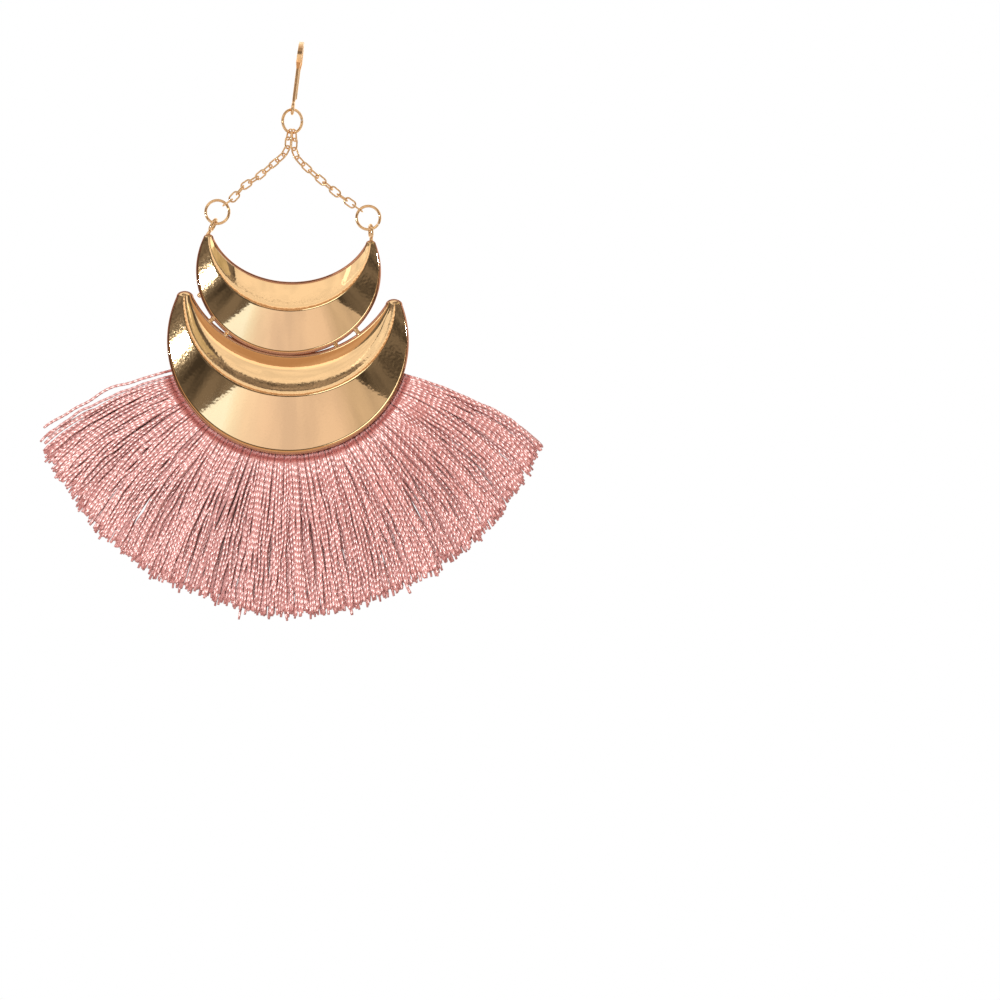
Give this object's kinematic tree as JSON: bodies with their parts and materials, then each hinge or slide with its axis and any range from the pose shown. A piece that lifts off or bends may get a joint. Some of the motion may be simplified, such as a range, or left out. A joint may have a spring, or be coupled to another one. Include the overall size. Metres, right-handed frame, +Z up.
{
  "type": "tassel earring",
  "caption": "Drop earring: a wire hook, two fine chains from one ring to two side rings, two soldered crescents and a wide fan of thread fringe.",
  "frame": {"origin": "inside top of the ear hook's bend, where it sits in the ear", "axes": "-Y is the front, +Z is up, +X is to the right as seen from the front; stored as it hangs"},
  "size_m": [0.0933, 0.0111, 0.1092],
  "materials": {
    "gold": "polished pale gold plate",
    "threads": "twisted thread with a slight sheen, dusty rose"
  },
  "bodies": {
    "hook": {"ear_hook": "gold"},
    "drop": {"top_ring": "gold", "chain_left": "gold", "chain_right": "gold", "ring_left": "gold", "ring_right": "gold"},
    "pendant": {"crescents": "gold", "tassel": "threads"}
  },
  "joints": [
    {"name": "drop_swing", "type": "hinge", "parent": "hook", "child": "drop", "pos_m": [-0.00108, -0.00392, -0.01235], "axis": [1, 0, 0], "range_deg": [-60, 60]},
    {"name": "pendant_swing", "type": "hinge", "parent": "drop", "child": "pendant", "pos_m": [-0.0003, -0.00392, -0.03475], "axis": [1, 0, 0], "range_deg": [-45, 45]}
  ]
}
